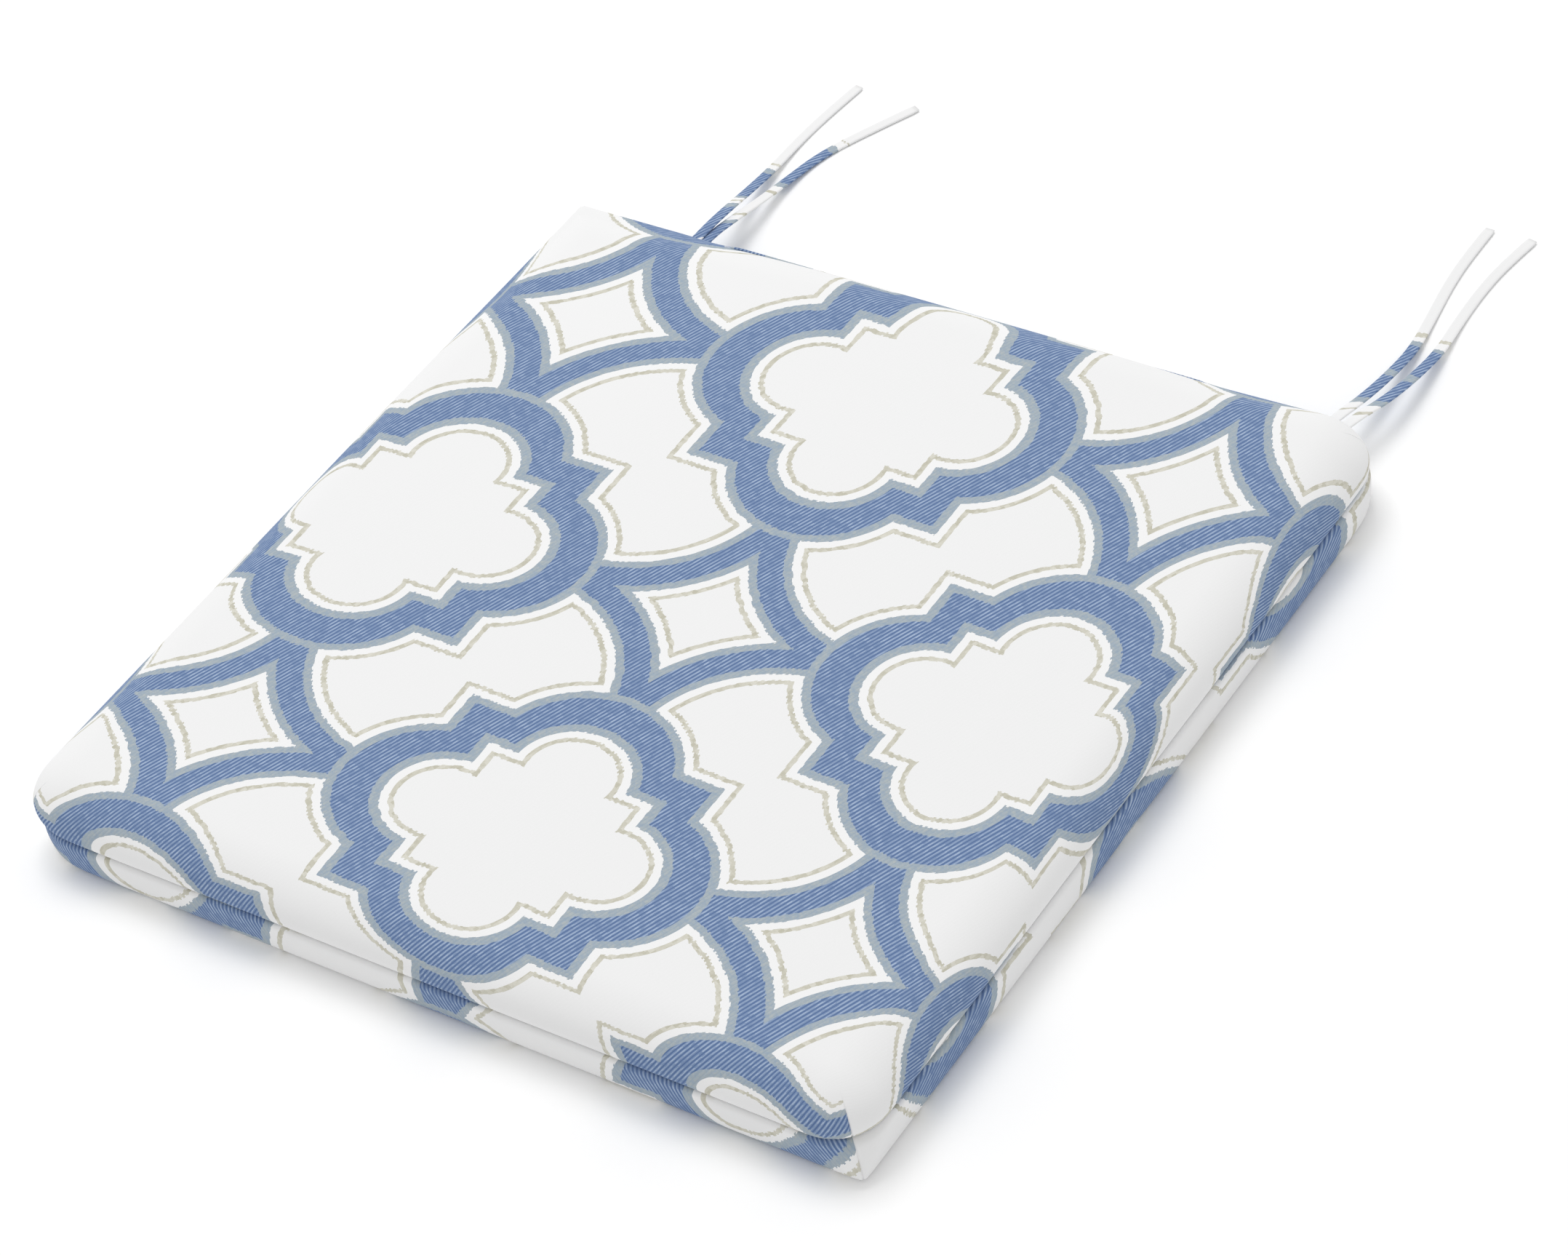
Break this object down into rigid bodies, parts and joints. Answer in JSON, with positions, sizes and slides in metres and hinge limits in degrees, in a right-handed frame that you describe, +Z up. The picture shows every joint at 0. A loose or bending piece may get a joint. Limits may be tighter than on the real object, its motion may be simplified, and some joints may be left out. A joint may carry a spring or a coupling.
{
  "type": "chair seat pad",
  "caption": "Square box-style chair seat pad: two-panel fabric cover with a mid seam and darted corners round a foam core, flat fabric ties and a zip in the back seam.",
  "frame": {"origin": "middle of the pad's underside, on the surface that it rests on", "axes": "+Z up through the seat face, +Y to the back where the ties are, +X to the right when the pad is seen from its front edge"},
  "size_m": [0.4, 0.5555, 0.038],
  "materials": {
    "cover_fabric": "matt woven cotton, off-white ground with a blue, grey-blue and beige trellis",
    "tie_fabric": "same woven cotton, folded and stitched flat",
    "foam": "open-cell polyurethane foam",
    "thread": "white polyester sewing thread",
    "zip_tape": "white woven polyester tape",
    "zip_coil": "white nylon coil",
    "zip_metal": "nickel-plated zinc"
  },
  "bodies": {
    "pad": {"cover_top_panel": "cover_fabric", "cover_bottom_panel": "cover_fabric", "foam_core": "foam", "seam_thread": "thread", "corner_dart_thread": "thread", "tie_left_outer": "tie_fabric", "tie_left_inner": "tie_fabric", "tie_right_inner": "tie_fabric", "tie_right_outer": "tie_fabric", "tie_bartacks_left": "thread", "tie_bartacks_right": "thread", "zip_tape_upper": "zip_tape", "zip_tape_lower": "zip_tape", "zip_coil_upper": "zip_coil", "zip_coil_lower": "zip_coil", "zip_thread": "thread", "zip_top_stops": "zip_metal", "zip_bottom_stop": "zip_metal"},
    "slider": {"zip_slider": "zip_metal"},
    "pull_tab": {"zip_pull_tab": "zip_metal"}
  },
  "joints": [
    {"name": "zip_slide", "type": "slide", "parent": "pad", "child": "slider", "axis": [-1, 0, 0], "range_m": [0, 0.224]},
    {"name": "pull_tab_flip", "type": "hinge", "parent": "slider", "child": "pull_tab", "pos_m": [0.112, 0.20145, 0.0185], "axis": [0, 0, 1], "range_deg": [-180, 0]}
  ]
}
